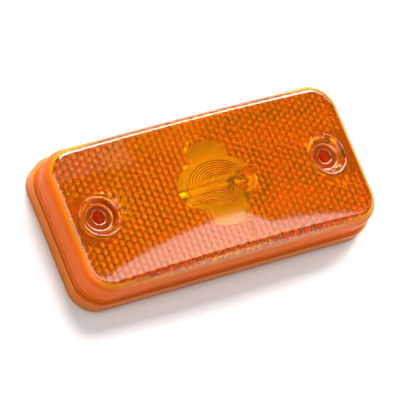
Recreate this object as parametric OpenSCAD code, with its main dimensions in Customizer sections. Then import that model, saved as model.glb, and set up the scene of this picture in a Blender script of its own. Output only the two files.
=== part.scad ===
// Amber side repeater lamp with a reflex field, screwed flat to a panel.
// Millimetres. Origin: centre of the back face. +X along the lamp,
// +Z out through the lens. The lamp rests flat on its back (z = 0).

/* [Housing] */
// Overall length of the rear housing
base_l = 115; // [100:1:140]
// Overall width of the rear housing
base_w = 53.2; // [46:0.2:64]
// Corner radius of the rear housing
base_r = 9.3; // [6:0.1:12]
// Height of the visible housing side
base_h = 5.2; // [4.6:0.1:6.5]
// Floor thickness of the housing
floor_t = 2.2; // [1.8:0.1:3]

/* [Lens] */
// Lens skirt length
lens_l = 113.6; // [98:0.2:138]
// Lens skirt width
lens_w = 51.4; // [44:0.2:62]
// Lens corner radius
lens_r = 10; // [7:0.1:12]
// Height of the lamp in the middle
total_h = 19.2; // [18:0.1:21]
// Radius of the arch that the lens face follows along the lamp
arch_r = 397; // [340:1:800]
// Edge radius between the lens face and the skirt
edge_r = 3.4; // [2.5:0.1:4]
// Lens wall thickness
lens_wall = 2; // [1.6:0.1:2.4]
// Lens face thickness without the reflex cells
face_t = 2.4; // [2:0.1:3]
// Depth of the reflex cell field behind the face
field_t = 2; // [1.5:0.1:2.1]
// How far the bead at the foot of the skirt stands out
bead_out = 0.3; // [0.1:0.05:0.5]
// Height of the bead at the foot of the skirt
bead_h = 1.2; // [0.8:0.1:2]

/* [Optic] */
// Radius of the clear window in the reflex field
window_r = 15; // [13:0.5:17]
// Half width of the window's long bar, along Y
bar_half_w = 8.7; // [8.2:0.1:11]
// Half width of the window's two tabs, along X
tab_half_w = 7.4; // [5:0.1:10]
// Number of rings in the optic
rings = 8; // [4:1:9]
// Pitch of the rings
ring_p = 1.1; // [0.9:0.05:1.2]
// Half width of the ringed area, along Y
ring_half_w = 8.2; // [7:0.2:10]
// Half width of the plain band across the rings
band_half_w = 2.2; // [1:0.2:3]

/* [Screw holes] */
// Distance between the two screw holes
hole_pitch = 88; // [84:0.5:90]
// Radius of the screw holes
hole_r = 2.2; // [1.8:0.1:2.8]
// Radius of the recess for the screw head
recess_r = 5.3; // [5:0.1:6]
// Depth of the recess for the screw head
recess_d = 2.6; // [2.2:0.1:3.6]
// Radius of the dished mouth of the recess, at the lens face
mouth_r = 6.9; // [6.2:0.1:7.4]
// Depth of the dished mouth
mouth_d = 1.1; // [0.8:0.1:1.8]

/* [Bulb] */
// Diameter of the bulb glass
bulb_d = 6.2; // [5.8:0.1:6.4]
// Length of the bulb between its two tips
bulb_l = 31; // [29:0.5:32]
// Height of the bulb's axis above the back
bulb_z = 7.2; // [7.1:0.05:7.3]

/* [Terminals] */
// Width of a blade terminal
blade_w = 6.3; // [4.8:0.1:6.3]
// Thickness of a blade terminal
blade_t = 0.8; // [0.5:0.1:0.8]

/* [Hidden] */
eps = 0.02;
seal_t = 0.6;
lens_z = base_h + seal_t;
hole_x = hole_pitch / 2;
face_z = total_h - face_t;
boss_h = total_h - arch_r + sqrt(arch_r * arch_r - hole_x * hole_x);
mouth_tilt = 6;
end_x = lens_l / 2 - 2 * edge_r;
end_h = total_h - arch_r + sqrt(arch_r * arch_r - end_x * end_x);
end_a = asin(end_x / arch_r);
end_d = (lens_l / 2 - end_x + 0.02 + edge_r * sin(end_a)) / cos(end_a);
in_l = lens_l - 2 * lens_wall;
in_w = lens_w - 2 * lens_wall;
in_r = lens_r - lens_wall;
cup_r = recess_r + 1.6;
cup_z = boss_h - recess_d - 1.8;
stem_r = hole_r + 2.3;
stem_z = base_h + 1.0;
post_r = stem_r + 1.6;
rib_t = 1.4;
rib_gap = 0.25;
rib_h = lens_z + 2.4;
pad_z = 5;
pocket_top = 3.8;
pocket_w = 10;
pocket_y0 = -20;
pocket_y1 = 4.5;
rivet_x = 22.5;
peg_x = 31.6;
peg_y = 15.5;
peg_r = 1.4;
refl_t = 1;
refl_z = floor_t;
refl_l = 70;
refl_w = 41;
refl_h = 5;
cap_t = 0.3;
cap_l = 6;
glass_in = 2.4;
tip_r = 1.4;
leaf_t = 0.5;

// Flat plate with round corners
module slab(l, w, r, z0, z1) {
    translate([0, 0, z0]) union() {
        translate([-l / 2 + r, -w / 2, 0]) cube([l - 2 * r, w, z1 - z0]);
        translate([-l / 2, -w / 2 + r, 0]) cube([l, w - 2 * r, z1 - z0]);
        for (sx = [-1, 1]) for (sy = [-1, 1])
            translate([sx * (l / 2 - r), sy * (w / 2 - r), 0]) cylinder(h = z1 - z0, r = r, $fn = 96);
    }
}

// Plate whose top edge is rounded with radius e
module pillow(l, w, r, z0, z1, e) {
    slab(l, w, r, z0, z1 - e);
    slab(l - 2 * e, w - 2 * e, r - e, z0, z1);
    for (sy = [-1, 1]) translate([-l / 2 + r, sy * (w / 2 - e), z1 - e])
        rotate([0, 90, 0]) cylinder(h = l - 2 * r, r = e, $fn = 96);
    for (sx = [-1, 1]) translate([sx * (l / 2 - e), -w / 2 + r, z1 - e])
        rotate([-90, 0, 0]) cylinder(h = w - 2 * r, r = e, $fn = 96);
    for (sx = [-1, 1]) for (sy = [-1, 1])
        translate([sx * (l / 2 - r), sy * (w / 2 - r), z1 - e])
            rotate([0, 0, sx > 0 ? (sy > 0 ? 0 : -90) : (sy > 0 ? 90 : 180)])
                rotate_extrude(angle = 90, $fn = 96) translate([r - e, 0]) intersection() {
                    circle(r = e, $fn = 96);
                    translate([-0.01, -e]) square([e + 0.01, 2 * e]);
                }
}

module at_holes() {
    for (s = [-1, 1]) translate([s * hole_pitch / 2, 0, 0]) children();
}

// Cylinder along Y that the arch of the face is part of, d below the face
module arch_bar(d) {
    translate([0, 0, total_h - arch_r]) rotate([90, 0, 0]) cylinder(h = 2 * lens_w, r = arch_r - d, center = true, $fn = 720);
}

// Arched block with its two long edges rounded
module arch_block(w, e) {
    translate([0, 0, total_h - arch_r]) rotate([90, 0, 0]) rotate([0, 0, 80])
        rotate_extrude(angle = 20, $fn = 720) union() {
            translate([arch_r - 16, -w / 2]) square([16 - e, w]);
            translate([arch_r - 16, -w / 2 + e]) square([16, w - 2 * e]);
            for (s = [-1, 1]) translate([arch_r - e, s * (w / 2 - e)]) circle(r = e, $fn = 96);
        }
}

// Tilted block that rounds one end of the lens and its two corners
module end_block(s) {
    rotate([0, 0, s > 0 ? 0 : 180]) union() {
        translate([end_x, 0, end_h + 0.04]) rotate([0, end_a, 0]) translate([end_d - 100, 0, 0])
            pillow(200, lens_w + 0.04, lens_r, -30, 0, edge_r);
        translate([-lens_l, -lens_w, 0]) cube([2 * lens_l, 2 * lens_w, end_h + 0.04 - end_d * sin(end_a) - edge_r * cos(end_a)]);
    }
}

// Outside of the lens without its bead and recesses
module lens_body() {
    intersection() {
        slab(lens_l, lens_w, lens_r, lens_z, total_h + 1);
        arch_block(lens_w + 0.02, edge_r);
        end_block(1);
        end_block(-1);
    }
}

// Plan of the clear window: a bar with two tabs, cut round
module window_plan() {
    intersection() {
        translate([0, 0, lens_z]) cylinder(h = total_h, r = window_r, $fn = 96);
        union() {
            translate([-window_r - 1, -bar_half_w, 0]) cube([2 * window_r + 2, 2 * bar_half_w, 2 * total_h]);
            translate([-tab_half_w, -window_r - 1, 0]) cube([2 * tab_half_w, 2 * window_r + 2, 2 * total_h]);
        }
    }
}

// Ring with a sawtooth section, one step of the optic
module tooth(k) {
    r0 = 2.6 + k * ring_p;
    rotate_extrude($fn = 96) polygon([[r0, -0.9], [r0 + ring_p - 0.05, -0.9], [r0 + ring_p - 0.05, 0.2], [r0, -0.6]]);
}

module lens() {
    color([0.85, 0.36, 0.02, 0.6]) difference() {
        union() {
            difference() {
                union() {
                    lens_body();
                    slab(lens_l + 2 * bead_out, lens_w + 2 * bead_out, lens_r + bead_out, lens_z, lens_z + bead_h);
                }
                // room behind the reflex field
                intersection() {
                    slab(in_l, in_w, in_r, lens_z - 1, total_h);
                    arch_bar(face_t + field_t);
                }
                // clear window, and clear ground round the screw cups, square towards the ends
                intersection() {
                    union() {
                        window_plan();
                        for (s = [-1, 1]) {
                            translate([s * hole_x, 0, lens_z]) cylinder(h = total_h, r = cup_r + 0.9, $fn = 96);
                            translate([s * (hole_x + 3.3) - 3.3, -cup_r - 0.9, lens_z]) cube([6.6, 2 * cup_r + 1.8, total_h]);
                        }
                    }
                    arch_bar(face_t);
                }
            }
            at_holes() {
                translate([0, 0, cup_z]) cylinder(h = boss_h - 1.3 - cup_z, r = cup_r, $fn = 96);
                translate([0, 0, stem_z]) cylinder(h = cup_z - stem_z + eps, r = stem_r, $fn = 96);
            }
            // body that the rings are cut from
            intersection() {
                translate([0, 0, face_z - 0.9]) cylinder(h = 1.4, r = 2.6 + rings * ring_p, $fn = 96);
                translate([-20, -ring_half_w, face_z - 1]) cube([40, 2 * ring_half_w, 3]);
            }
        }
        at_holes() translate([0, 0, stem_z - 1]) cylinder(h = total_h, r = hole_r, $fn = 96);
        // recess for the screw head, with a level floor
        at_holes() translate([0, 0, boss_h - recess_d]) cylinder(h = recess_d - 1, r = recess_r - 0.7, $fn = 96);
        // dished mouth, tilted with the face
        for (s = [-1, 1]) translate([s * hole_x, 0, boss_h]) rotate([0, s * mouth_tilt, 0]) rotate([0, 0, 90])
            rotate_extrude($fn = 96) polygon([[0, -1.9], [recess_r - 0.3, -1.9], [recess_r, -mouth_d], [mouth_r + (mouth_r - recess_r) / mouth_d, 1], [0, 1]]);
        // sawteeth of the optic, left out of the plain band
        difference() {
            translate([0, 0, face_z - 0.25]) for (k = [0 : rings - 1]) tooth(k);
            translate([-20, -band_half_w, face_z - 2]) cube([40, 2 * band_half_w, 4]);
        }
    }
}

module lens_seal() {
    color([0.09, 0.07, 0.06]) difference() {
        slab(lens_l - 0.6, lens_w - 0.6, lens_r - 0.3, base_h, lens_z);
        slab(in_l - 0.1, in_w - 0.1, in_r - 0.05, base_h - 1, lens_z + 1);
    }
}

module rear_housing() {
    color([0.80, 0.42, 0.16, 0.7]) difference() {
        union() {
            slab(base_l, base_w, base_r, 0, floor_t);
            // side wall and the rib that centres the lens
            difference() {
                slab(base_l, base_w, base_r, 0, base_h);
                slab(in_l - 2 * rib_gap - 2 * rib_t, in_w - 2 * rib_gap - 2 * rib_t, in_r - rib_gap - rib_t, 0.5, base_h + 1);
            }
            difference() {
                slab(in_l - 2 * rib_gap, in_w - 2 * rib_gap, in_r - rib_gap, base_h - 1, rib_h);
                slab(in_l - 2 * rib_gap - 2 * rib_t, in_w - 2 * rib_gap - 2 * rib_t, in_r - rib_gap - rib_t, base_h - 2, rib_h + 1);
            }
            // posts under the screw stems, with a rim that holds the ring seals
            at_holes() cylinder(h = base_h, r = post_r, $fn = 96);
            at_holes() difference() {
                cylinder(h = base_h + 1.6, r = post_r, $fn = 96);
                translate([0, 0, base_h]) cylinder(h = 3, r = stem_r + 0.3, $fn = 96);
            }
            // webs from the posts to the end walls
            for (s = [-1, 1]) for (y = [-1, 1])
                translate([s * (hole_pitch / 2 + 8) - 4.5, y * 3.4 - 0.7, 0.5]) cube([9, 1.4, base_h - 1]);
            // raised pads over the terminal pockets
            for (s = [-1, 1]) translate([s * rivet_x - pocket_w / 2 - 1.5, -base_w / 2 + 3, 0.5])
                cube([pocket_w + 3, pocket_y1 + 1.5 + base_w / 2 - 3, pad_z - 0.5]);
            // pegs that locate the reflector
            for (sx = [-1, 1]) for (sy = [-1, 1]) translate([sx * peg_x, sy * peg_y, 0.5]) {
                cylinder(h = floor_t + refl_t + 0.1, r = peg_r, $fn = 48);
                translate([0, 0, floor_t + refl_t - 0.5]) cylinder(h = 0.7, r = peg_r - 0.1, $fn = 48);
            }
        }
        at_holes() translate([0, 0, -1]) cylinder(h = total_h, r = hole_r, $fn = 96);
        // pockets for the blades, open at the back
        for (s = [-1, 1]) translate([s * rivet_x - pocket_w / 2, pocket_y0, -1])
            cube([pocket_w, pocket_y1 - pocket_y0, pocket_top + 1]);
        for (s = [-1, 1]) translate([s * rivet_x, 0, 0]) cylinder(h = pad_z + 1, r = 1.25, $fn = 48);
        // groove for the rear seal
        difference() {
            slab(base_l - 5, base_w - 5, base_r - 2.5, -1, 1.2);
            slab(base_l - 10, base_w - 10, base_r - 5, -2, 2.2);
        }
    }
}

module rear_seal() {
    color([0.07, 0.07, 0.07]) difference() {
        slab(base_l - 5, base_w - 5, base_r - 2.5, 0, 1.2);
        slab(base_l - 10, base_w - 10, base_r - 5, -1, 2.2);
    }
}

module screw_seal(s) {
    color([0.85, 0.45, 0.15]) translate([s * hole_pitch / 2, 0, base_h]) difference() {
        cylinder(h = stem_z - base_h, r = stem_r + 0.1, $fn = 96);
        translate([0, 0, -1]) cylinder(h = 4, r = hole_r + 0.25, $fn = 96);
    }
}
module screw_seal_left() { screw_seal(-1); }
module screw_seal_right() { screw_seal(1); }

// Bright tray behind the lens, cut out round the terminal pads
module reflector() {
    color([0.86, 0.86, 0.84]) difference() {
        union() {
            slab(refl_l, refl_w, 4, refl_z, refl_z + refl_t);
            difference() {
                slab(refl_l, refl_w, 4, refl_z, refl_z + refl_h);
                slab(refl_l - 2 * refl_t, refl_w - 2 * refl_t, 3, refl_z - 1, refl_z + refl_h + 1);
            }
        }
        for (s = [-1, 1]) translate([s * rivet_x - pocket_w / 2 - 1.8, -refl_w / 2 - 1, refl_z - 1])
            cube([pocket_w + 3.6, refl_w / 2 + 1 + pocket_y1 + 1.8, refl_h + 3]);
        for (sx = [-1, 1]) for (sy = [-1, 1]) translate([sx * peg_x, sy * peg_y, 0])
            cylinder(h = 6, r = peg_r + 0.1, $fn = 48);
    }
}

module bulb_glass() {
    g = bulb_l / 2 - cap_l + glass_in;
    color([0.95, 0.95, 0.95, 0.35]) translate([0, 0, bulb_z]) rotate([0, 90, 0]) difference() {
        rotate_extrude($fn = 64) polygon([[0, -g], [bulb_d / 2 - 0.5, -g], [bulb_d / 2, -g + 0.5], [bulb_d / 2, g - 0.5], [bulb_d / 2 - 0.5, g], [0, g]]);
        cylinder(h = 2 * g - 2, r = bulb_d / 2 - 0.5, center = true, $fn = 64);
        cylinder(h = 2 * g + 1, r = 0.16, center = true, $fn = 24);
    }
}

// Metal cap: a cup round the end of the glass, closed by a conical tip
module bulb_cap(s) {
    r = bulb_d / 2;
    g = bulb_l / 2 - cap_l + glass_in;
    color([0.78, 0.78, 0.78]) translate([0, 0, bulb_z]) rotate([0, s * 90, 0]) difference() {
        rotate_extrude($fn = 64) polygon([[r, bulb_l / 2 - cap_l], [r, g], [0, g], [0, bulb_l / 2], [0.5, bulb_l / 2 - 0.1], [tip_r, bulb_l / 2 - 1.4], [r - 0.5, bulb_l / 2 - 1.8], [r + cap_t, bulb_l / 2 - 2.4], [r + cap_t, bulb_l / 2 - cap_l]]);
        translate([0, 0, g - 0.5]) cylinder(h = 1.1, r = 0.16, $fn = 24);
    }
}
module bulb_cap_left() { bulb_cap(-1); }
module bulb_cap_right() { bulb_cap(1); }

// Filament drawn as a rod with the coil's outside size
module bulb_filament() {
    color([0.35, 0.35, 0.36]) translate([0, 0, bulb_z]) rotate([0, 90, 0])
        cylinder(h = 7, r = 0.35, center = true, $fn = 24);
}

module bulb_lead(s) {
    color([0.6, 0.6, 0.6]) translate([0, 0, bulb_z]) rotate([0, s * 90, 0])
        translate([0, 0, 3.5]) cylinder(h = bulb_l / 2 - cap_l + glass_in + 0.6 - 3.5, r = 0.16, $fn = 24);
}
module bulb_lead_left() { bulb_lead(-1); }
module bulb_lead_right() { bulb_lead(1); }

// Spring strip: a foot on the pad, a leaf with a hole for the bulb's tip
module contact(s) {
    x = bulb_l / 2 - 1.2;
    color([0.80, 0.62, 0.25]) mirror([s < 0 ? 1 : 0, 0, 0]) difference() {
        union() {
            translate([x, -2.6, pad_z]) cube([rivet_x + 3.2 - x, 5.2, leaf_t]);
            translate([x, -2.6, pad_z]) cube([leaf_t, 5.2, bulb_z + 2.6 - pad_z]);
            translate([x, 0, bulb_z + 2.6]) rotate([0, 90, 0]) cylinder(h = leaf_t, r = 0.6, $fn = 48);
        }
        translate([x - 1, 0, bulb_z]) rotate([0, 90, 0]) cylinder(h = 3, r = tip_r - 0.1, $fn = 48);
        translate([rivet_x, 0, pad_z - 1]) cylinder(h = 3, r = 1.25, $fn = 48);
    }
}
module contact_left() { contact(-1); }
module contact_right() { contact(1); }

module rivet(s) {
    color([0.75, 0.73, 0.68]) translate([s * rivet_x, 0, 0]) rotate_extrude($fn = 48)
        polygon([[0, pocket_top - blade_t - 0.8], [2.1, pocket_top - blade_t - 0.8], [2.3, pocket_top - blade_t], [1.2, pocket_top - blade_t], [1.2, pad_z + leaf_t], [2.3, pad_z + leaf_t], [1.9, pad_z + leaf_t + 0.8], [0, pad_z + leaf_t + 1]]);
}
module rivet_left() { rivet(-1); }
module rivet_right() { rivet(1); }

// Flat blade in its pocket, reached from the back; the connector slides along Y
module terminal(s) {
    color([0.83, 0.68, 0.30]) translate([s * rivet_x, 0, pocket_top - blade_t]) difference() {
        union() {
            translate([-blade_w / 2, -8.5, 0]) cube([blade_w, 11.4, blade_t]);
            translate([0, 0, 0]) linear_extrude(height = blade_t)
                polygon([[-blade_w / 2, -8.5], [blade_w / 2, -8.5], [blade_w / 2 - 1, -9.6], [-blade_w / 2 + 1, -9.6]]);
        }
        translate([0, 0, -1]) cylinder(h = 3, r = 1.25, $fn = 48);
        translate([0, -6.2, -1]) cylinder(h = 3, r = 0.85, $fn = 48);
    }
}
module terminal_left() { terminal(-1); }
module terminal_right() { terminal(1); }

lens();
lens_seal();
rear_housing();
rear_seal();
screw_seal_left();
screw_seal_right();
reflector();
bulb_glass();
bulb_cap_left();
bulb_cap_right();
bulb_filament();
bulb_lead_left();
bulb_lead_right();
contact_left();
contact_right();
rivet_left();
rivet_right();
terminal_left();
terminal_right();
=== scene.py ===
import math

import bmesh
import bpy
import numpy as np
from mathutils import Matrix, Vector
from mathutils.geometry import delaunay_2d_cdt


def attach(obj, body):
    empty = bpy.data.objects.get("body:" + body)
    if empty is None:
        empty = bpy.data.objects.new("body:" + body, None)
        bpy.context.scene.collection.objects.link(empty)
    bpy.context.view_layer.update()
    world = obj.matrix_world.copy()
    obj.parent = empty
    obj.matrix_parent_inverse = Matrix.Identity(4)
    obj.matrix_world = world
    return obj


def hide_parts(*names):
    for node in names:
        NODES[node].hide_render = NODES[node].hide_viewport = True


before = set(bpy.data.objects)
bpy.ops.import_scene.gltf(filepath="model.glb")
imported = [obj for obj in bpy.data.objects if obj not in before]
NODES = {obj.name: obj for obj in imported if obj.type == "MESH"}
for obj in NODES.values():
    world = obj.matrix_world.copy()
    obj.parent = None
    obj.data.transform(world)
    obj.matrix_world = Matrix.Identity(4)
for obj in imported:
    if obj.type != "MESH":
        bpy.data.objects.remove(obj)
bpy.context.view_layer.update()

MM = 0.001
sin, cos, pi = math.sin, math.cos, math.pi

# ---------------------------------------------------------------- sizes, mm
LENS_L, LENS_W, LENS_R = 113.6, 51.4, 10.0
LENS_Z, TOP, EDGE_R, WALL = 5.8, 19.2, 3.4, 2.0
RIM_Z = 5.82                       # foot of the lens, just off its seal
ARCH = 397.0                       # radius of the arched face
EDGE_Z = 11.8                      # where the long edges start to round
BEAD_OUT, BEAD_H = 0.3, 1.2
FACE_Z = 16.8                      # underside of the plain face, in the middle
CELL = 2.5                         # reflex cell, across flats
CELL_R = CELL / math.sqrt(3)       # centre to vertex
SLOPE = math.sqrt(2)
APEX = FACE_Z - SLOPE * CELL_R     # lowest point of a cell
WIN_R, BAR_HALF, TAB_HALF = 15.0, 9.4, 6.8
RING0, PITCH, RINGS, OVAL = 2.6, 1.1, 8, 0.72
RISE = 0.55                        # share of a ring's pitch that slopes
BAND_HALF, BASE_Z = 2.2, 15.9
HOLE_X, HOLE_R = 44.0, 2.2
STEM_R, STEM_Z, CUP_R = 4.5, 6.22, 6.9
GROUND_R, GROUND_X = 7.6, 11.4
LATT_X, LATT_Y = 27.52, 18.51      # centre of one cell


def crown(x):
    """How far the arched face lies below its middle."""
    return math.sqrt(ARCH * ARCH - x * x) - ARCH


BOSS_Z = TOP + crown(HOLE_X)
CUP_Z = BOSS_Z - 2.6 - 1.8


# ---------------------------------------------------------------- flat loops
def rrect(l, w, r, n=24):
    out = []
    for cx, cy, a0 in ((l / 2 - r, w / 2 - r, 0), (r - l / 2, w / 2 - r, 90),
                       (r - l / 2, r - w / 2, 180), (l / 2 - r, r - w / 2, 270)):
        for i in range(n + 1):
            a = math.radians(a0 + 90 * i / n)
            out.append((cx + r * cos(a), cy + r * sin(a)))
    return out


def circ(cx, cy, r, n=96, a0=0.0):
    return [(cx + r * cos(a0 + 2 * pi * i / n), cy + r * sin(a0 + 2 * pi * i / n)) for i in range(n)]


def fluted(l, w, r, pitch, depth):
    """Rounded rectangle whose line zigzags by depth, one tooth per pitch."""
    base = np.array(rrect(l, w, r, 48))
    nxt = np.roll(base, -1, 0)
    seg = np.hypot(*(nxt - base).T)
    total = seg.sum()
    n = 2 * int(round(total / pitch))
    at = np.concatenate([[0], np.cumsum(seg)])
    out = []
    for i in range(n):
        s = total * i / n
        k = min(int(np.searchsorted(at, s, side="right")) - 1, len(seg) - 1)
        while seg[k] < 1e-9:
            k -= 1
        f = (s - at[k]) / seg[k]
        p = base[k] * (1 - f) + nxt[k] * f
        t = (nxt[k] - base[k]) / seg[k]
        nrm = np.array([t[1], -t[0]])
        p = p + nrm * (depth / 2 if i % 2 else -depth / 2)
        out.append((float(p[0]), float(p[1])))
    return out


def inside(poly, pts):
    """For each point, whether it lies in the polygon."""
    poly = np.array(poly, float)
    x, y = pts[:, 0], pts[:, 1]
    hit = np.zeros(len(pts), bool)
    for (x0, y0), (x1, y1) in zip(poly, np.roll(poly, -1, 0)):
        if y0 == y1:
            continue
        c = (y0 > y) != (y1 > y)
        hit ^= c & (x < (x1 - x0) * (y - y0) / (y1 - y0) + x0)
    return hit


def triangulate(loops, lines=()):
    """Triangles of the plane that keep every loop and line as edges."""
    pts, edges, index = [], [], {}

    def at(p):
        k = (round(p[0], 4), round(p[1], 4))
        if k not in index:
            index[k] = len(pts)
            pts.append(Vector(k))
        return index[k]

    seen = set()
    for lp in loops:
        ids = [at(p) for p in lp]
        for a, b in zip(ids, ids[1:] + ids[:1]):
            e = (min(a, b), max(a, b))
            if a != b and e not in seen:
                seen.add(e)
                edges.append(e)
    for p, q in lines:
        a, b = at(p), at(q)
        e = (min(a, b), max(a, b))
        if a != b and e not in seen:
            seen.add(e)
            edges.append(e)
    v, _, f, _, _, _ = delaunay_2d_cdt(pts, edges, [], 0, 1e-5)
    v = np.array([(p[0], p[1]) for p in v], float)
    tris = [tuple(t) for t in f]
    good = []
    for t in tris:
        a, b, c = (v[i] for i in t)
        area = (b[0] - a[0]) * (c[1] - a[1]) - (b[1] - a[1]) * (c[0] - a[0])
        if abs(area) > 1e-7:
            good.append(t if area > 0 else (t[0], t[2], t[1]))
    return v, good


# ---------------------------------------------------------------- reflex cells
COL = CELL * math.sqrt(3) / 2


def cell_of(x, y):
    """Centre of the cell that holds a point."""
    best = None
    i0 = round((x - LATT_X) / COL)
    for i in (i0 - 1, i0, i0 + 1):
        cx = LATT_X + i * COL
        off = LATT_Y + (CELL / 2 if i % 2 else 0)
        cy = off + round((y - off) / CELL) * CELL
        d = (x - cx) ** 2 + (y - cy) ** 2
        if best is None or d < best[0]:
            best = (d, cx, cy)
    return best[1], best[2]


FAR = [math.radians(a) for a in (60, 180, 300)]      # azimuths of the high corners


def cell_plane(x, y):
    """z = a + b x + c y of the cell face over a point."""
    cx, cy = cell_of(x, y)
    t = math.atan2(y - cy, x - cx)
    k = max(FAR, key=lambda a: cos(t - a))
    b, c = SLOPE * cos(k), SLOPE * sin(k)
    return APEX - b * cx - c * cy, b, c


def window_loop():
    """Edge of the clear window: an oval with a tab on each long side, cut round."""
    q = []
    for i in range(49):
        a = pi / 2 * i / 48
        x, y = WIN_R * cos(a), BAR_HALF * sin(a)
        if x > TAB_HALF:
            q.append((x, y))
    q.append((TAB_HALF, BAR_HALF * math.sqrt(1 - (TAB_HALF / WIN_R) ** 2)))
    a1 = math.acos(TAB_HALF / WIN_R)
    q += [(WIN_R * cos(a), WIN_R * sin(a)) for a in (a1 + (pi / 2 - a1) * i / 20 for i in range(21))]
    q += [(-x, y) for x, y in q[:-1][::-1]]
    return q[:-1] + [(x, -y) for x, y in q[::-1]][:-1]


def oval(r, n=120):
    """One ring of the optic: r is its half width along X."""
    return [(r * cos(2 * pi * i / n), OVAL * r * sin(2 * pi * i / n)) for i in range(n)]


def ground_loop(s):
    """Edge of the plain ground round a screw cup."""
    cx = s * HOLE_X
    arc = [(cx - s * GROUND_R * cos(a), GROUND_R * sin(a)) for a in (pi / 2 - pi * i / 48 for i in range(49))]
    return arc + [(cx + s * GROUND_X, -GROUND_R), (cx + s * GROUND_X, GROUND_R)]


def clip(p, q, loop):
    """The part of a line that lies inside a loop, or None."""
    ip, iq = inside(loop, np.array([p, q]))
    if ip and iq:
        return p, q
    if not ip and not iq:
        return None
    a, b = (p, q) if ip else (q, p)
    lo, hi = 0.0, 1.0
    for _ in range(12):
        m = (lo + hi) / 2
        c = (a[0] + (b[0] - a[0]) * m, a[1] + (b[1] - a[1]) * m)
        lo, hi = (m, hi) if inside(loop, np.array([c]))[0] else (lo, m)
    return a, (a[0] + (b[0] - a[0]) * lo, a[1] + (b[1] - a[1]) * lo)


def lens_under():
    """Triangles of the lens's underside with the plane that each lies in."""
    inner = fluted(LENS_L - 2 * WALL, LENS_W - 2 * WALL, LENS_R - WALL, 0.52, 0.13)
    outer = straight(skin_loop(SKIN[0][0]), 2.4)
    window = window_loop()
    limit = rrect(LENS_L - 1.2 * WALL, LENS_W - 1.2 * WALL, LENS_R - 0.6 * WALL)
    grounds = [ground_loop(s) for s in (-1, 1)]
    cups = [circ(s * HOLE_X, 0, CUP_R) for s in (-1, 1)]
    stems = [circ(s * HOLE_X, 0, STEM_R) for s in (-1, 1)]
    holes = [circ(s * HOLE_X, 0, HOLE_R) for s in (-1, 1)]
    n_ring = 120
    ring_r = [RING0 + k * PITCH for k in range(RINGS + 1)]
    rings = [oval(r, n_ring) for r in ring_r] + [oval(r + RISE * PITCH, n_ring) for r in ring_r[:-1]]
    lines = []
    half = math.sqrt(ring_r[-1] ** 2 - (BAND_HALF / OVAL) ** 2) + 0.02
    for sg in (-1, 1):
        lines.append(((-half, sg * BAND_HALF), (half, sg * BAND_HALF)))
    for i in range(-14, 15):
        lines.append(((i + 0.03, -14.8), (i + 0.03, 14.8)))
    # cells that touch the field
    cells = []
    for i in range(-40, 16):
        for j in range(-20, 5):
            cx = LATT_X + i * COL
            cy = LATT_Y + (CELL / 2 if i % 2 else 0) + j * CELL
            if abs(cx) < 57 and abs(cy) < 26:
                cells.append((cx, cy))
    probe = []
    for cx, cy in cells:
        probe.append((cx, cy))
        for k in range(6):
            a = pi / 3 * k
            for f in (1.25, 0.97, 0.55):
                probe.append((cx + f * CELL_R * cos(a), cy + f * CELL_R * sin(a)))
            a += pi / 6
            probe.append((cx + 0.97 * CELL / 2 * cos(a), cy + 0.97 * CELL / 2 * sin(a)))
    probe = np.array(probe)
    ok = inside(inner, probe) & ~inside(window, probe)
    for g in grounds:
        ok &= ~inside(g, probe)
    ok = ok.reshape(len(cells), -1).any(1)
    near = [a + pi / 3 for a in FAR]
    for (cx, cy), keep in zip(cells, ok):
        if not keep:
            continue
        vs = [(cx + CELL_R * cos(pi / 3 * k), cy + CELL_R * sin(pi / 3 * k)) for k in range(6)]
        mine = [(vs[k], vs[(k + 1) % 6]) for k in range(6)]
        mine += [((cx, cy), (cx + CELL_R * cos(a), cy + CELL_R * sin(a))) for a in near]
        if abs(cx) > 50 or abs(cy) > 20:
            mine = [c for c in (clip(p, q, limit) for p, q in mine) if c]
        lines += mine
    v, tris = triangulate([outer, inner, window] + grounds + cups + stems + holes + rings, lines)
    mid = np.array([v[list(t)].mean(0) for t in tris])
    in_outer = inside(outer, mid)
    in_inner = inside(inner, mid)
    chord = 0.5 * (1 + cos(pi / 96))
    d_opt = np.hypot(mid[:, 0], mid[:, 1] / OVAL)
    in_win = inside(window, mid)
    in_ground = inside(grounds[0], mid) | inside(grounds[1], mid)
    d_hole = np.minimum(np.hypot(mid[:, 0] - HOLE_X, mid[:, 1]), np.hypot(mid[:, 0] + HOLE_X, mid[:, 1]))
    out = []
    for n, t in enumerate(tris):
        x, y = mid[n]
        if not in_outer[n] or d_hole[n] < HOLE_R * chord:
            continue
        if not in_inner[n]:
            z = RIM_Z
        elif d_hole[n] < STEM_R * chord:
            z = STEM_Z
        elif d_hole[n] < CUP_R * chord:
            z = CUP_Z
        elif in_ground[n]:
            z = ("arch", FACE_Z)
        elif in_win[n]:
            z = ("arch", FACE_Z)
            lim = 0.5 * (1 + cos(pi / n_ring))
            if d_opt[n] < ring_r[-1] * lim:
                if abs(y) < BAND_HALF or d_opt[n] < RING0 * lim:
                    z = ("arch", BASE_Z)
                else:
                    k = max(i for i in range(RINGS) if d_opt[n] > ring_r[i] * lim)
                    z = ("ring", ring_r[k])
        else:
            z = cell_plane(x, y)
        out.append((t, z))
    return v, out


def height(z, p):
    if isinstance(z, (int, float)):
        return z
    if z[0] == "arch":
        return z[1] + crown(p[0])
    if z[0] == "ring":
        f = (math.hypot(p[0], p[1] / OVAL) - z[1]) / PITCH
        return BASE_Z + 0.05 + 0.8 * min(max(f / RISE, 0), 1) + crown(p[0])
    return z[0] + z[1] * p[0] + z[2] * p[1] + crown(p[0])


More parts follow.
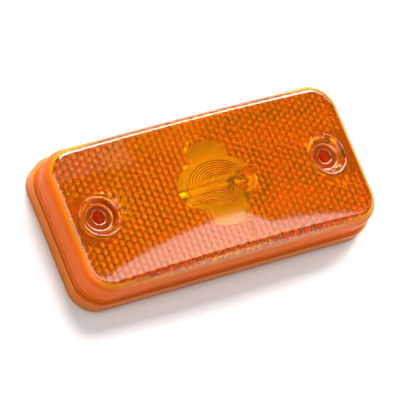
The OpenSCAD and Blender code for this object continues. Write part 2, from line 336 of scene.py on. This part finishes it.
def stepped(v, tris, up):
    """Faces of a surface given as flat pieces over the plane, with upright walls where neighbours differ in height."""
    verts, index, faces = [], {}, []
    levels = [set() for _ in v]
    lifted = []
    for t, z in tris:
        zs = [int(round(height(z, v[i]) * 10000)) for i in t]
        lifted.append((t, zs))
        for i, h in zip(t, zs):
            levels[i].add(h)

    def at(i, h):
        k = (i, h)
        if k not in index:
            index[k] = len(verts)
            verts.append((v[i][0] * MM, v[i][1] * MM, h / 10000 * MM))
        return index[k]

    sides = {}
    for t, zs in lifted:
        f = [at(i, h) for i, h in zip(t, zs)]
        faces.append(f if up else f[::-1])
        for a in range(3):
            b = (a + 1) % 3
            i, j, hi, hj = t[a], t[b], zs[a], zs[b]
            if i > j:
                i, j, hi, hj = j, i, hj, hi
            sides.setdefault((i, j), []).append((hi, hj))
    crossing = 0
    for (i, j), hs in sides.items():
        if len(hs) != 2:
            continue
        (a0, b0), (a1, b1) = hs
        if a0 == a1 and b0 == b1:
            continue
        if (a0 - a1) * (b0 - b1) < 0:
            # the two surfaces cross along this edge: one upright triangle at each end
            crossing += 1
            f = abs(a0 - a1) / (abs(a0 - a1) + abs(b0 - b1))
            x = len(verts)
            verts.append(tuple((v[i][k] + (v[j][k] - v[i][k]) * f) * MM for k in (0, 1)) + ((a0 + (b0 - a0) * f) / 10000 * MM,))
            for e, h0, h1 in ((i, a0, a1), (j, b0, b1)):
                ring = [at(e, h) for h in sorted(levels[e]) if min(h0, h1) <= h <= max(h0, h1)]
                faces.append(ring + [x])
            continue
        lo_a, hi_a, lo_b, hi_b = min(a0, a1), max(a0, a1), min(b0, b1), max(b0, b1)
        ring = [at(i, h) for h in sorted(levels[i]) if lo_a <= h <= hi_a]
        ring += [at(j, h) for h in sorted(levels[j], reverse=True) if lo_b <= h <= hi_b]
        if len(ring) > 2:
            faces.append(ring)
    return verts, faces, crossing


# ---------------------------------------------------------------- lens skin
def arc(c, z, r, a0, a1, n, skip=0):
    """Points of a profile arc: (inset from the lens outline, height)."""
    return [(c - r * cos(math.radians(a0 + (a1 - a0) * i / n)), z + r * sin(math.radians(a0 + (a1 - a0) * i / n)))
            for i in range(skip, n + 1)]


# profile rows of the outside: inset from the outline, height, and how far up the rounded edge (0 to 1)
SKIN = [(-0.16, RIM_Z, 0)] + [(c, z, 0) for c, z in arc(-0.16, LENS_Z + 0.18, 0.14, -60, 0, 3)] \
    + [(c, z, 0) for c, z in arc(-0.14, LENS_Z + BEAD_H - 0.16, 0.16, 0, 75, 4)] \
    + [(-0.05, LENS_Z + BEAD_H + 0.01, 0), (0.0, LENS_Z + BEAD_H + 0.08, 0), (0.0, LENS_Z + BEAD_H + 0.5, 0)] \
    + [(EDGE_R * (1 - cos(pi / 2 * i / 20)), EDGE_Z, sin(pi / 2 * i / 20)) for i in range(21)]


def skin_loop(inset, z=0, t=0):
    return rrect(LENS_L - 2 * inset, LENS_W - 2 * inset, LENS_R - inset, 24)


def straight(loop, step):
    """Adds points to the long straight sides of a loop."""
    out = []
    for p, q in zip(loop, loop[1:] + loop[:1]):
        out.append(p)
        n = int(abs(q[0] - p[0]) // step) if abs(q[0] - p[0]) > 20 else 0
        for i in range(1, n):
            out.append((p[0] + (q[0] - p[0]) * i / n, p[1] + (q[1] - p[1]) * i / n))
    return out


# rows of a screw recess: radius, depth below the face, and how much the row follows the arch
RECESS = [(7.3, 0, 1), (7.14, -0.012, 1), (7.0, -0.05, 1), (6.88, -0.12, 1), (6.78, -0.21, 1),
          (5.62, -1.0, 1), (5.5, -1.09, 1), (5.4, -1.2, 1), (5.32, -1.36, 0.95), (5.26, -1.55, 0.9),
          (4.92, -2.25, 0.15), (4.87, -2.38, 0.05), (4.77, -2.49, 0), (4.62, -2.56, 0), (4.4, -2.6, 0), (4.25, -2.6, 0),
          (2.76, -2.6, 0), (2.62, -2.6, 0), (2.44, -2.63, 0), (2.31, -2.7, 0), (2.23, -2.82, 0), (2.2, -3.0, 0), (2.2, None, 0)]


def build_lens():
    v, tris = lens_under()
    verts, faces, crossing = stepped(v, tris, False)
    print("lens underside", len(verts), len(faces), "crossing", crossing)
    bm = bmesh.new()
    bv = [bm.verts.new(p) for p in verts]
    for f in faces:
        try:
            bm.faces.new([bv[i] for i in f])
        except ValueError:
            pass
    # skirt and edge
    rows = []
    for inset, z, t in SKIN:
        loop = straight(skin_loop(inset), 2.4)
        rows.append([bm.verts.new((x * MM, y * MM, (z + (TOP + crown(x) - z) * t if t else z) * MM)) for x, y in loop])
    for lo, hi in zip(rows, rows[1:]):
        for i in range(len(lo)):
            j = (i + 1) % len(lo)
            bm.faces.new((lo[i], lo[j], hi[j], hi[i]))
    # recesses
    mouths = []
    for s in (-1, 1):
        prev = None
        for r, z, w in RECESS:
            row = []
            for x, y in circ(s * HOLE_X, 0, r):
                h = STEM_Z if z is None else BOSS_Z + z + w * (crown(x) - crown(HOLE_X))
                row.append(bm.verts.new((x * MM, y * MM, h * MM)))
            if prev:
                for i in range(len(row)):
                    j = (i + 1) % len(row)
                    bm.faces.new((prev[i], prev[j], row[j], row[i]))
            prev = row
        mouths.append(circ(s * HOLE_X, 0, RECESS[0][0]))
    # arched face
    top = straight(skin_loop(SKIN[-1][0]), 2.4)
    edge = Vector((LENS_L / 2 - EDGE_R, LENS_W / 2 - EDGE_R))
    cuts = []
    for i in range(-26, 27):
        x = 2 * i + 0.01
        r = LENS_R - EDGE_R
        over = max(0.0, abs(x) - (edge.x - r))
        y = edge.y - r + math.sqrt(max(r * r - over * over, 0)) - 0.3
        gap = abs(abs(x) - HOLE_X)
        if gap < RECESS[0][0] + 0.3:
            c = math.sqrt((RECESS[0][0] + 0.35) ** 2 - gap * gap)
            cuts += [((x, -y), (x, -c)), ((x, c), (x, y))]
        else:
            cuts.append(((x, -y), (x, y)))
    rim = straight(skin_loop(EDGE_R + 0.3), 2.4)
    collars = [circ(s * HOLE_X, 0, RECESS[0][0] + 0.35) for s in (-1, 1)]
    v, tris = triangulate([top, rim] + mouths + collars, cuts)
    mid = np.array([v[list(t)].mean(0) for t in tris])
    keep = inside(top, mid) & ~inside(mouths[0], mid) & ~inside(mouths[1], mid)
    tv = [bm.verts.new((x * MM, y * MM, (TOP + crown(x)) * MM)) for x, y in v]
    for t, k in zip(tris, keep):
        if k:
            bm.faces.new([tv[i] for i in t])
    return finish_mesh(bm, "lens_shell", sharp=24, weld=4e-7, exact=arched)


def arched(me):
    """Exact shading on the arched face, so that reflections run straight over it."""
    nv = len(me.vertices)
    co = np.empty(nv * 3, np.float32)
    me.vertices.foreach_get("co", co)
    co = co.reshape(-1, 3) / MM
    on = np.abs(co[:, 2] - (TOP + np.sqrt(ARCH ** 2 - co[:, 0] ** 2) - ARCH)) < 2e-4
    nl = len(me.loops)
    nrm = np.empty(nl * 3, np.float32)
    me.corner_normals.foreach_get("vector", nrm)
    nrm = nrm.reshape(-1, 3)
    vi = np.empty(nl, np.int32)
    me.loops.foreach_get("vertex_index", vi)
    k = on[vi]
    x = co[vi][:, 0] / ARCH
    nrm[k] = np.stack([x, np.zeros_like(x), np.sqrt(1 - x * x)], 1)[k]
    me.normals_split_custom_set([tuple(map(float, n)) for n in nrm])


def build_coil(half, radius, wire, pitch, z):
    """Wound wire along X, closed at both ends."""
    bm = bmesh.new()
    turns = (2 * half - 2 * wire) / pitch
    n, sides = int(turns * 16), 6
    prev = None
    for i in range(n + 1):
        a = 2 * pi * turns * i / n
        c = Vector((-half + wire + (2 * half - 2 * wire) * i / n, radius * cos(a), z + radius * sin(a)))
        t = Vector((pitch / (2 * pi), -radius * sin(a), radius * cos(a))).normalized()
        u = Vector((0, cos(a), sin(a)))
        v = t.cross(u)
        row = [bm.verts.new((c + wire * (u * cos(2 * pi * k / sides) + v * sin(2 * pi * k / sides))) * MM) for k in range(sides)]
        if prev:
            for k in range(sides):
                bm.faces.new((prev[k], prev[(k + 1) % sides], row[(k + 1) % sides], row[k]))
        else:
            bm.faces.new(row[::-1])
        prev = row
    bm.faces.new(prev)
    return finish_mesh(bm, "filament_coil", sharp=70)


def finish_mesh(bm, name, sharp=30, weld=0.0, exact=None):
    if weld:
        bmesh.ops.remove_doubles(bm, verts=bm.verts, dist=weld)
    loose = [x for x in bm.verts if not x.link_faces]
    bmesh.ops.delete(bm, geom=loose, context="VERTS")
    bmesh.ops.recalc_face_normals(bm, faces=bm.faces)
    open_edges = sum(1 for e in bm.edges if len(e.link_faces) != 2)
    for f in bm.faces:
        f.smooth = True
    lim = math.radians(sharp)
    for e in bm.edges:
        e.smooth = len(e.link_faces) == 2 and e.calc_face_angle(0) < lim
    me = bpy.data.meshes.new(name)
    bm.to_mesh(me)
    if exact:
        exact(me)
    vol = bm.calc_volume(signed=True)
    bm.free()
    ob = bpy.data.objects.new(name, me)
    bpy.context.scene.collection.objects.link(ob)
    print(name, "faces", len(me.polygons), "open edges", open_edges, "volume mm3", round(vol * 1e9, 1))
    return ob


# ---------------------------------------------------------------- materials
def material(name):
    m = bpy.data.materials.new(name)
    m.use_nodes = True
    nt = m.node_tree
    nt.nodes.clear()
    out = nt.nodes.new("ShaderNodeOutputMaterial")
    p = nt.nodes.new("ShaderNodeBsdfPrincipled")
    nt.links.new(p.outputs[0], out.inputs["Surface"])
    return m, nt, p, out


def texture(nt, kind, scale, **kw):
    n = nt.nodes.new(kind)
    n.inputs["Scale"].default_value = scale
    for k, val in kw.items():
        n.inputs[k].default_value = val
    co = nt.nodes.new("ShaderNodeTexCoord")
    nt.links.new(co.outputs["Object"], n.inputs["Vector"])
    return n


def ramp(nt, src, lo, hi, lo_at=0.0, hi_at=1.0):
    n = nt.nodes.new("ShaderNodeMapRange")
    n.inputs["From Min"].default_value = lo_at
    n.inputs["From Max"].default_value = hi_at
    n.inputs["To Min"].default_value = lo
    n.inputs["To Max"].default_value = hi
    nt.links.new(src, n.inputs["Value"])
    return n.outputs["Result"]


def colours(nt, src, stops):
    n = nt.nodes.new("ShaderNodeValToRGB")
    el = n.color_ramp.elements
    while len(el) < len(stops):
        el.new(0.5)
    for e, (at, c) in zip(el, stops):
        e.position = at
        e.color = (*c, 1)
    nt.links.new(src, n.inputs[0])
    return n.outputs[0]


def bump(nt, p, src, strength, distance):
    n = nt.nodes.new("ShaderNodeBump")
    n.inputs["Strength"].default_value = strength
    n.inputs["Distance"].default_value = distance
    nt.links.new(src, n.inputs["Height"])
    nt.links.new(n.outputs[0], p.inputs["Normal"])
    return n


def amber(name, base, trans, rough, dens, col, scale=90, inner=0.0, skirt=None, scatter=0.0, spec=0.5):
    m, nt, p, out = material(name)
    n = texture(nt, "ShaderNodeTexNoise", scale, Detail=3)
    lo = tuple(c * 0.96 for c in base)
    tint = colours(nt, n.outputs["Fac"], [(0.3, lo), (0.7, base)])
    nt.links.new(tint, p.inputs["Base Color"])
    p.inputs["Transmission Weight"].default_value = trans
    if skirt:
        low = skirt_mask(nt)
        mx = nt.nodes.new("ShaderNodeMix")
        mx.data_type = "RGBA"
        nt.links.new(low, mx.inputs["Factor"])
        nt.links.new(tint, mx.inputs[6])
        mx.inputs[7].default_value = (*skirt, 1)
        nt.links.new(mx.outputs[2], p.inputs["Base Color"])
        nt.links.new(ramp(nt, low, trans, trans - scatter), p.inputs["Transmission Weight"])
    p.inputs["IOR"].default_value = 1.585
    p.inputs["Specular IOR Level"].default_value = spec
    rg = ramp(nt, n.outputs["Fac"], rough[0], rough[1], 0.3, 0.7)
    nt.links.new(rg, p.inputs["Roughness"])
    if inner:
        frost(nt, p, rg, inner)
    a = nt.nodes.new("ShaderNodeVolumeAbsorption")
    a.inputs["Color"].default_value = (*col, 1)
    a.inputs["Density"].default_value = dens
    nt.links.new(a.outputs[0], out.inputs["Volume"])
    return m


def skirt_mask(nt):
    """1 on the fluted skirt and the foot of the rounded edge, 0 on the face and the cells."""
    def math_node(op, a, b=None):
        n = nt.nodes.new("ShaderNodeMath")
        n.operation = op
        nt.links.new(a, n.inputs[0])
        if b is not None:
            nt.links.new(b, n.inputs[1])
        return n.outputs[0]

    co = nt.nodes.new("ShaderNodeTexCoord")
    sp = nt.nodes.new("ShaderNodeSeparateXYZ")
    nt.links.new(co.outputs["Object"], sp.inputs[0])
    low = ramp(nt, sp.outputs["Z"], 1.0, 0.0, 11.3 * MM, 12.5 * MM)
    high = ramp(nt, sp.outputs["Z"], 1.0, 0.0, 14.5 * MM, 17.0 * MM)
    # how far outside the rectangle of corner centres
    cx, cy = (LENS_L / 2 - LENS_R) * MM, (LENS_W / 2 - LENS_R) * MM
    dx = ramp(nt, math_node("ABSOLUTE", sp.outputs["X"]), 0.0, 0.02, cx, cx + 0.02)
    dy = ramp(nt, math_node("ABSOLUTE", sp.outputs["Y"]), 0.0, 0.02, cy, cy + 0.02)
    d = math_node("SQRT", math_node("ADD", math_node("MULTIPLY", dx, dx), math_node("MULTIPLY", dy, dy)))
    side = ramp(nt, d, 0.0, 1.0, 7.5 * MM, 7.9 * MM)
    return math_node("MAXIMUM", low, math_node("MULTIPLY", high, side))


def frost(nt, p, base, inner):
    """Roughness that rises on the inside of the clear window."""
    co = nt.nodes.new("ShaderNodeTexCoord")
    mp = nt.nodes.new("ShaderNodeMapping")
    mp.inputs["Scale"].default_value = (1 / (WIN_R * MM), 1 / (WIN_R * MM), 1 / (2 * MM))
    mp.inputs["Location"].default_value = (0, 0, -BASE_Z / 2)
    nt.links.new(co.outputs["Object"], mp.inputs["Vector"])
    g = nt.nodes.new("ShaderNodeTexGradient")
    g.gradient_type = "SPHERICAL"
    nt.links.new(mp.outputs[0], g.inputs["Vector"])
    hi = ramp(nt, g.outputs["Fac"], 0.0, inner, 0.02, 0.12)
    add = nt.nodes.new("ShaderNodeMath")
    add.operation = "ADD"
    nt.links.new(hi, add.inputs[0])
    nt.links.new(base, add.inputs[1])
    nt.links.new(add.outputs[0], p.inputs["Roughness"])


def plain(name, c0, c1, scale, rough, metal=0.0, bump_d=0.0, spec=0.5, ior=1.5):
    m, nt, p, out = material(name)
    n = texture(nt, "ShaderNodeTexNoise", scale, Detail=4)
    nt.links.new(colours(nt, n.outputs["Fac"], [(0.3, c0), (0.7, c1)]), p.inputs["Base Color"])
    nt.links.new(ramp(nt, n.outputs["Fac"], rough[0], rough[1], 0.3, 0.7), p.inputs["Roughness"])
    p.inputs["Metallic"].default_value = metal
    p.inputs["Specular IOR Level"].default_value = spec
    p.inputs["IOR"].default_value = ior
    if bump_d:
        bump(nt, p, n.outputs["Fac"], 1.0, bump_d)
    return m


def assign(ob, m):
    ob.data.materials.clear()
    ob.data.materials.append(m)


# ---------------------------------------------------------------- build
AMBER = amber("amber_lens", (1.0, 0.84, 0.02), 0.97, (0.015, 0.03), 740.0, (0.997, 0.80, 0.0), inner=0.10,
              skirt=(0.94, 0.18, 0.012), scatter=0.68, spec=0.0)
HOUSE = amber("amber_housing", (0.88, 0.22, 0.025), 0.12, (0.32, 0.42), 200.0, (0.985, 0.80, 0.2), spec=0.06)
SILICONE = plain("amber_rubber", (0.46, 0.20, 0.03), (0.54, 0.24, 0.04), 300, (0.5, 0.6))
RUBBER = plain("black_rubber", (0.012, 0.011, 0.010), (0.022, 0.020, 0.018), 900, (0.55, 0.75), bump_d=0.00002)
TRAY = plain("bright_tray", (0.88, 0.88, 0.87), (0.92, 0.92, 0.91), 300, (0.2, 0.35))
CAPS = plain("cap_metal", (0.62, 0.62, 0.61), (0.72, 0.72, 0.70), 900, (0.18, 0.32), metal=1)
WIRE = plain("filament_metal", (0.30, 0.30, 0.31), (0.38, 0.38, 0.38), 2000, (0.35, 0.5), metal=1)
BRASS = plain("spring_brass", (0.72, 0.52, 0.20), (0.80, 0.60, 0.26), 600, (0.2, 0.34), metal=1)
RIVET = plain("rivet_metal", (0.60, 0.58, 0.54), (0.70, 0.68, 0.62), 800, (0.22, 0.36), metal=1)
GLASS, _nt, _p, _o = material("clear_glass")
_p.inputs["Transmission Weight"].default_value = 1
_p.inputs["IOR"].default_value = 1.5
_p.inputs["Base Color"].default_value = (1, 1, 1, 1)
_n = texture(_nt, "ShaderNodeTexNoise", 200, Detail=2)
_nt.links.new(ramp(_nt, _n.outputs["Fac"], 0.0, 0.02), _p.inputs["Roughness"])

lens = build_lens()
assign(lens, AMBER)
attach(lens, "root")
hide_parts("lens")

lo, hi = (np.array([NODES["bulb_filament"].matrix_world @ v.co for v in NODES["bulb_filament"].data.vertices]).min(0) / MM,
          np.array([NODES["bulb_filament"].matrix_world @ v.co for v in NODES["bulb_filament"].data.vertices]).max(0) / MM)
coil = build_coil(float(hi[0] - lo[0]) / 2, 0.27, 0.07, 0.24, float(hi[2] + lo[2]) / 2)
assign(coil, WIRE)
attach(coil, "root")
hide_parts("bulb_filament")

for name, m in {"rear_housing": HOUSE, "lens_seal": RUBBER, "rear_seal": RUBBER, "screw_seal_left": SILICONE,
                "screw_seal_right": SILICONE, "reflector": TRAY, "bulb_glass": GLASS, "bulb_cap_left": CAPS,
                "bulb_cap_right": CAPS, "bulb_lead_left": WIRE, "bulb_lead_right": WIRE,
                "contact_left": BRASS, "contact_right": BRASS, "rivet_left": RIVET, "rivet_right": RIVET,
                "terminal_left": BRASS, "terminal_right": BRASS}.items():
    assign(NODES[name], m)
for name, width, seg in (("rear_housing", 0.28, 3), ("reflector", 0.15, 2), ("terminal_left", 0.1, 2), ("terminal_right", 0.1, 2),
                         ("contact_left", 0.06, 2), ("contact_right", 0.06, 2), ("rear_seal", 0.12, 2)):
    b = NODES[name].modifiers.new("edge", "BEVEL")
    b.width, b.segments, b.limit_method, b.angle_limit = width * MM, seg, "ANGLE", math.radians(50)
    b.harden_normals = False

# ---------------------------------------------------------------- floor, lights, camera
sc = bpy.context.scene
bm = bmesh.new()
for x, y in ((-3, -3), (3, -3), (3, 3), (-3, 3)):
    bm.verts.new((x, y, -0.0001))
bm.faces.new(bm.verts)
me = bpy.data.meshes.new("floor")
bm.to_mesh(me)
bm.free()
floor = bpy.data.objects.new("floor", me)
sc.collection.objects.link(floor)
fm, nt, p, out = material("floor_paper")
p.inputs["Base Color"].default_value = (0.82, 0.82, 0.816, 1)
p.inputs["Roughness"].default_value = 0.9
p.inputs["Specular IOR Level"].default_value = 0.2
me.materials.append(fm)

w = bpy.data.worlds.new("studio")
sc.world = w
w.use_nodes = True
bg = w.node_tree.nodes["Background"]
bg.inputs[0].default_value = (1, 1, 1, 1)
bg.inputs[1].default_value = 0.02


def softbox(name, direction, dist, sx, sy, radiance, target=(0, 0, 0.01), roll=0.0):
    """Rectangular light: its radiance doesn't depend on its size."""
    d = Vector(direction).normalized()
    ld = bpy.data.lights.new(name, "AREA")
    ld.shape = "RECTANGLE"
    ld.size, ld.size_y = sx, sy
    ld.energy = radiance * sx * sy * pi
    ob = bpy.data.objects.new(name, ld)
    sc.collection.objects.link(ob)
    ob.matrix_world = Matrix.Translation(Vector(target) + d * dist) @ d.to_track_quat("Z", "Y").to_matrix().to_4x4() \
        @ Matrix.Rotation(roll, 4, "Z")
    return ob


def panel(name, x0, x1, y0, y1, z, yaw, radiance):
    """Softbox that hangs level and faces straight down."""
    sx, sy = x1 - x0, y1 - y0
    ld = bpy.data.lights.new(name, "AREA")
    ld.shape = "RECTANGLE"
    ld.size, ld.size_y = sx, sy
    ld.energy = radiance * sx * sy * pi
    ob = bpy.data.objects.new(name, ld)
    sc.collection.objects.link(ob)
    # turned about its far left corner, so that the far edge keeps its place
    pivot = Vector((x0, y1, z))
    ob.matrix_world = Matrix.Translation(pivot) @ Matrix.Rotation(yaw, 4, "Z") @ Matrix.Translation(Vector((sx / 2, -sy / 2, 0)))
    return ob


panel("overhead_left", -0.55, 0.925, -0.12, 0.2305, 1.5, 0.096, 3.8)
panel("overhead_middle", 0.925, 1.031, 0.05, 0.3705, 1.5, -0.028, 3.8)
panel("overhead_right", 1.031, 1.85, 0.05, 0.3675, 1.5, 0.092, 3.8)
panel("overhead_end", -0.65, -0.05, 0.19, 0.6, 1.5, 0.0, 3.8)
panel("back_high", 0.1, 2.5, 0.72, 2.1, 1.5, 0.0, 18.0)
panel("card", 0.2, 0.545, 0.389, 0.55, 1.5, 0.042, 0.4)
softbox("back", (0.5, 0.78, 0.42), 1.9, 1.6, 0.55, 4.5)
softbox("left", (-0.9, -0.2, 0.5), 1.5, 1.2, 0.7, 0.6)
softbox("front", (0.3, -0.9, 0.4), 1.6, 2.4, 1.1, 0.6)
softbox("fill", (-0.486, -0.223, 0.845), 1.7, 1.5, 1.5, 0.85)
softbox("left_back", (-0.62, 0.62, 0.3), 1.7, 1.3, 0.6, 0.5)

RIGHT = Vector((0.8436, -0.3730, 0.3863)).normalized()
DOWN = Vector((-0.2292, -0.9007, -0.3691)).normalized()
FWD = Vector((0.4856, 0.2228, -0.8453)).normalized()
cd = bpy.data.cameras.new("camera")
cd.sensor_width = 36
cd.lens = 3570.07 * 36 / 400
cd.clip_start, cd.clip_end = 0.05, 20
cam = bpy.data.objects.new("camera", cd)
sc.collection.objects.link(cam)
T = Vector((-0.98, 0.79, 1183.17)) * MM
loc = -(RIGHT * T.x + DOWN * T.y + FWD * T.z)
cam.matrix_world = Matrix((
    (RIGHT.x, -DOWN.x, -FWD.x, loc.x),
    (RIGHT.y, -DOWN.y, -FWD.y, loc.y),
    (RIGHT.z, -DOWN.z, -FWD.z, loc.z),
    (0, 0, 0, 1)))
sc.camera = cam

sc.view_settings.view_transform = "Standard"
sc.cycles.max_bounces = 24
sc.cycles.transmission_bounces = 24
sc.cycles.glossy_bounces = 12
sc.cycles.diffuse_bounces = 6
sc.cycles.caustics_reflective = True
sc.cycles.caustics_refractive = True
sc.cycles.sample_clamp_indirect = 6
sc.cycles.blur_glossy = 0.3
